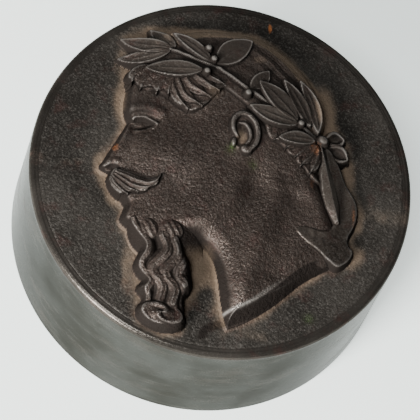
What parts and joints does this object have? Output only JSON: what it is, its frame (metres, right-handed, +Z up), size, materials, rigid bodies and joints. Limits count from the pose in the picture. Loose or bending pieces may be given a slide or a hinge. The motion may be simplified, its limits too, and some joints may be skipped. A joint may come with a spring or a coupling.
{
  "type": "relief seal",
  "caption": "Round cast iron block with a slightly tapered side and, on its top, a bearded laurel-wreathed portrait head in low relief, facing left.",
  "frame": {"origin": "centre of the flat base, on the surface that the seal stands on", "axes": "+Z up along the axis of the round block, +Y towards the crown of the portrait, and the portrait looks towards -X"},
  "size_m": [0.0814, 0.0812, 0.0362],
  "materials": {
    "block_iron": "dark brown-black patina, rough cast field and smooth turned side",
    "portrait_iron": "dark brown patina with a satin sheen, rubbed bright on the edges",
    "wreath_iron": "dark brown patina with dust in the hollows"
  },
  "bodies": {
    "root": {"seal_block": "block_iron", "head_and_neck": "portrait_iron", "ear": "portrait_iron", "hair_crown": "portrait_iron", "forehead_locks": "portrait_iron", "temple_locks": "portrait_iron", "nape_locks": "portrait_iron", "moustache": "portrait_iron", "goatee": "portrait_iron", "laurel_stem": "wreath_iron", "laurel_leaf_1": "wreath_iron", "laurel_leaf_2": "wreath_iron", "laurel_leaf_3": "wreath_iron", "laurel_leaf_4": "wreath_iron", "laurel_leaf_5": "wreath_iron", "laurel_leaf_6": "wreath_iron", "laurel_leaf_7": "wreath_iron", "laurel_leaf_8": "wreath_iron", "laurel_leaf_9": "wreath_iron", "laurel_leaf_10": "wreath_iron", "laurel_leaf_11": "wreath_iron", "laurel_leaf_12": "wreath_iron", "laurel_berries": "wreath_iron", "ribbon_knot": "wreath_iron", "bow_loop_upper": "wreath_iron", "bow_loop_lower": "wreath_iron", "ribbon_tail_inner": "wreath_iron", "ribbon_tail_outer": "wreath_iron"}
  },
  "joints": []
}
